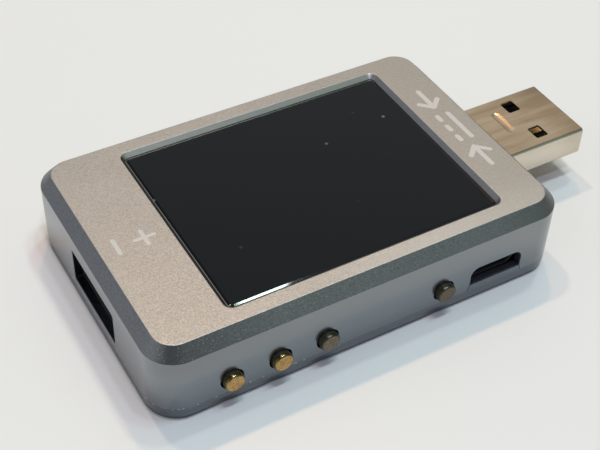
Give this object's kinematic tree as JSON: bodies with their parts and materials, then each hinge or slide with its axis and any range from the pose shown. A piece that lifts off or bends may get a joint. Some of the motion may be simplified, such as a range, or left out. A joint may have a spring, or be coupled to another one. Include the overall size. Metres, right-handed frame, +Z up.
{
  "type": "usb power meter",
  "caption": "Flat aluminium USB inline power meter with a glass display window, plug and socket on opposite ends, a side port and push buttons.",
  "frame": {"origin": "centre of the housing's underside, where it rests on a table; the plug isn't counted in the centre", "axes": "+X along the length towards the USB plug, -Y towards the push buttons and the side port, +Z up through the display"},
  "size_m": [0.0746, 0.0407, 0.012],
  "materials": {
    "housing_aluminium": "bead-blasted anodised, satin, with a lighter warm top plate",
    "cover_glass": "gloss, blacked out from behind",
    "lcd_glass": "gloss",
    "gasket_foam": "matt closed-cell foam tape",
    "white_plastic": "moulded, matt",
    "ribbon_film": "polyimide film, satin",
    "board_laminate": "solder mask, semi-gloss",
    "chip_resin": "moulded resin, matt",
    "ceramic": "fired ceramic, matt",
    "plated_steel": "nickel plated, bright",
    "screw_steel": "black oxide",
    "black_plastic": "moulded, matt",
    "gold_contact": "gold plated, bright",
    "button_brass": "turned, satin face with a bright chamfer"
  },
  "bodies": {
    "housing": {"top_shell": "housing_aluminium", "bottom_cover": "housing_aluminium", "cover_glass": "cover_glass", "lcd_panel": "lcd_glass", "glass_gasket": "gasket_foam", "lcd_backlight": "white_plastic", "display_connector": "white_plastic", "display_ribbon": "ribbon_film", "main_board": "board_laminate", "mcu_chip": "chip_resin", "meter_chip": "chip_resin", "memory_chip": "chip_resin", "regulator_chip": "chip_resin", "power_inductor": "chip_resin", "switch_body_1": "chip_resin", "switch_body_2": "chip_resin", "switch_body_3": "chip_resin", "switch_body_4": "chip_resin", "shunt_resistor": "ceramic", "bulk_capacitor_1": "ceramic", "bulk_capacitor_2": "ceramic", "usb_plug_shell": "plated_steel", "usb_socket_shell": "plated_steel", "side_port_shell": "plated_steel", "crystal": "plated_steel", "cover_screw_1": "screw_steel", "cover_screw_2": "screw_steel", "cover_screw_3": "screw_steel", "cover_screw_4": "screw_steel", "usb_plug_insulator": "black_plastic", "usb_socket_tongue": "black_plastic", "side_port_tongue": "black_plastic", "plug_contact_1": "gold_contact", "plug_contact_2": "gold_contact", "plug_contact_3": "gold_contact", "plug_contact_4": "gold_contact", "socket_contact_1": "gold_contact", "socket_contact_2": "gold_contact", "socket_contact_3": "gold_contact", "socket_contact_4": "gold_contact"},
    "button_1": {"button_cap_1": "button_brass", "switch_plunger_1": "white_plastic"},
    "button_2": {"button_cap_2": "button_brass", "switch_plunger_2": "white_plastic"},
    "button_3": {"button_cap_3": "button_brass", "switch_plunger_3": "white_plastic"},
    "button_4": {"button_cap_4": "button_brass", "switch_plunger_4": "white_plastic"}
  },
  "joints": [
    {"name": "button_1_press", "type": "slide", "parent": "housing", "child": "button_1", "axis": [0, 1, 0], "range_m": [0, 0.00035], "stiffness_N_per_m": 1500},
    {"name": "button_2_press", "type": "slide", "parent": "housing", "child": "button_2", "axis": [0, 1, 0], "range_m": [0, 0.00035], "stiffness_N_per_m": 1500},
    {"name": "button_3_press", "type": "slide", "parent": "housing", "child": "button_3", "axis": [0, 1, 0], "range_m": [0, 0.00035], "stiffness_N_per_m": 1500},
    {"name": "button_4_press", "type": "slide", "parent": "housing", "child": "button_4", "axis": [0, 1, 0], "range_m": [0, 0.00035], "stiffness_N_per_m": 1500}
  ]
}
